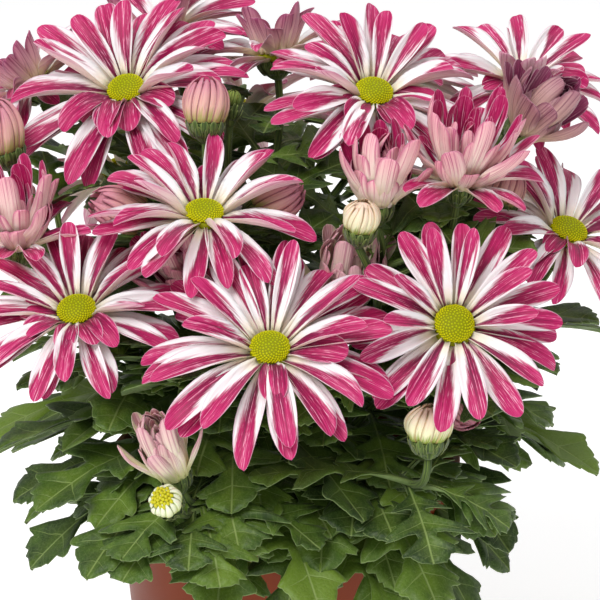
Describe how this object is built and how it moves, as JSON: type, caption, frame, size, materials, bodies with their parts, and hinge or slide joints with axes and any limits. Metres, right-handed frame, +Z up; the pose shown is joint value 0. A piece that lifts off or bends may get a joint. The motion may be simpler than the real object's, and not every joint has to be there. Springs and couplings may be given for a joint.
{
  "type": "potted chrysanthemum",
  "caption": "Bushy pot chrysanthemum with magenta and white daisy blooms, half-open heads and buds over lobed leaves, in a plain tapered plastic pot of soil.",
  "frame": {"origin": "middle of the pot's flat underside, where it rests", "axes": "+Z up along the pot's axis, -Y towards the viewer, +X to the viewer's right"},
  "size_m": [0.2429, 0.2207, 0.2588],
  "materials": {
    "pot_plastic": "moulded terracotta-brown plastic, smooth, satin",
    "peat_soil": "dark moist peat, crumbly and dull",
    "leaf_green": "living leaf and stem, finely haired, dark green",
    "magenta_florets": "ray petals, magenta with white margins, velvety",
    "yellow_florets": "dense disc florets, yellow-green, grainy",
    "pink_florets": "half-open petals, magenta inside and pale pink outside",
    "bud_florets": "closed bud petals, cream to pale pink"
  },
  "bodies": {
    "root": {"pot": "pot_plastic", "soil": "peat_soil", "plant_1": "leaf_green", "plant_2": "leaf_green", "plant_3": "leaf_green", "plant_4": "leaf_green", "plant_5": "leaf_green", "bloom_01_rays": "magenta_florets", "bloom_01_disc": "yellow_florets", "bloom_02_rays": "magenta_florets", "bloom_02_disc": "yellow_florets", "bloom_03_rays": "magenta_florets", "bloom_03_disc": "yellow_florets", "bloom_04_rays": "magenta_florets", "bloom_04_disc": "yellow_florets", "bloom_05_rays": "magenta_florets", "bloom_05_disc": "yellow_florets", "bloom_06_rays": "magenta_florets", "bloom_06_disc": "yellow_florets", "bloom_07_rays": "magenta_florets", "bloom_07_disc": "yellow_florets", "bloom_08_rays": "magenta_florets", "bloom_08_disc": "yellow_florets", "bloom_09_rays": "magenta_florets", "bloom_09_disc": "yellow_florets", "bloom_10_rays": "magenta_florets", "bloom_10_disc": "yellow_florets", "bloom_11_rays": "magenta_florets", "bloom_11_disc": "yellow_florets", "bloom_12_rays": "magenta_florets", "bloom_12_disc": "yellow_florets", "bloom_13_rays": "magenta_florets", "bloom_13_disc": "yellow_florets", "bloom_14_rays": "magenta_florets", "bloom_14_disc": "yellow_florets", "bloom_15_rays": "magenta_florets", "bloom_15_disc": "yellow_florets", "half_open_1": "pink_florets", "half_open_2": "pink_florets", "half_open_3": "pink_florets", "half_open_4": "pink_florets", "half_open_5": "pink_florets", "half_open_6": "pink_florets", "half_open_7": "pink_florets", "half_open_8": "pink_florets", "bud_01": "bud_florets", "bud_02": "bud_florets", "bud_03": "bud_florets", "bud_04": "bud_florets", "bud_05": "bud_florets", "bud_06": "bud_florets", "bud_07": "bud_florets", "bud_08": "bud_florets", "bud_09": "bud_florets", "bud_10": "bud_florets"}
  },
  "joints": []
}
